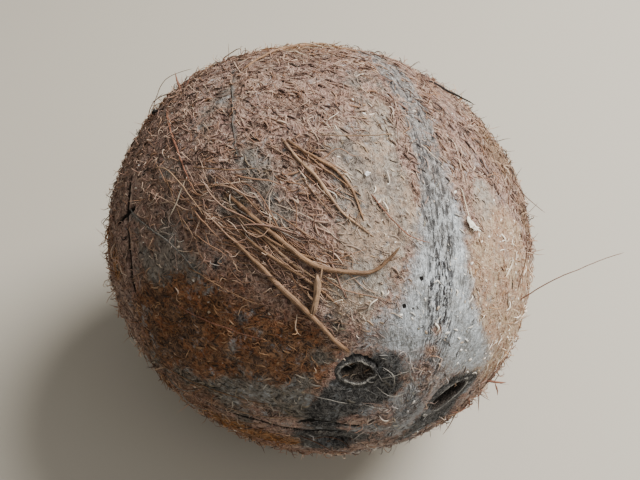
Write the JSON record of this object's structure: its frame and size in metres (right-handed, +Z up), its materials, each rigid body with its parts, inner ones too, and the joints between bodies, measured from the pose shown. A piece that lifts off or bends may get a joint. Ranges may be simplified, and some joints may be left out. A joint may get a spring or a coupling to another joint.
{
  "type": "dehusked coconut",
  "caption": "Brown dehusked coconut with low ridges meeting at the eye end and eye pits between them, lying on its side on a small flat spot.",
  "frame": {"origin": "on the resting surface, under the middle of the nut's bounding box", "axes": "+Z up, Y along the nut's long axis with the eye end towards -Y, +X to the right seen from the eye end"},
  "size_m": [0.1192, 0.1226, 0.1091],
  "materials": {
    "husk_shell": "matte, fibrous brown shell with grey ridges"
  },
  "bodies": {
    "root": {"coconut": "husk_shell"}
  },
  "joints": []
}
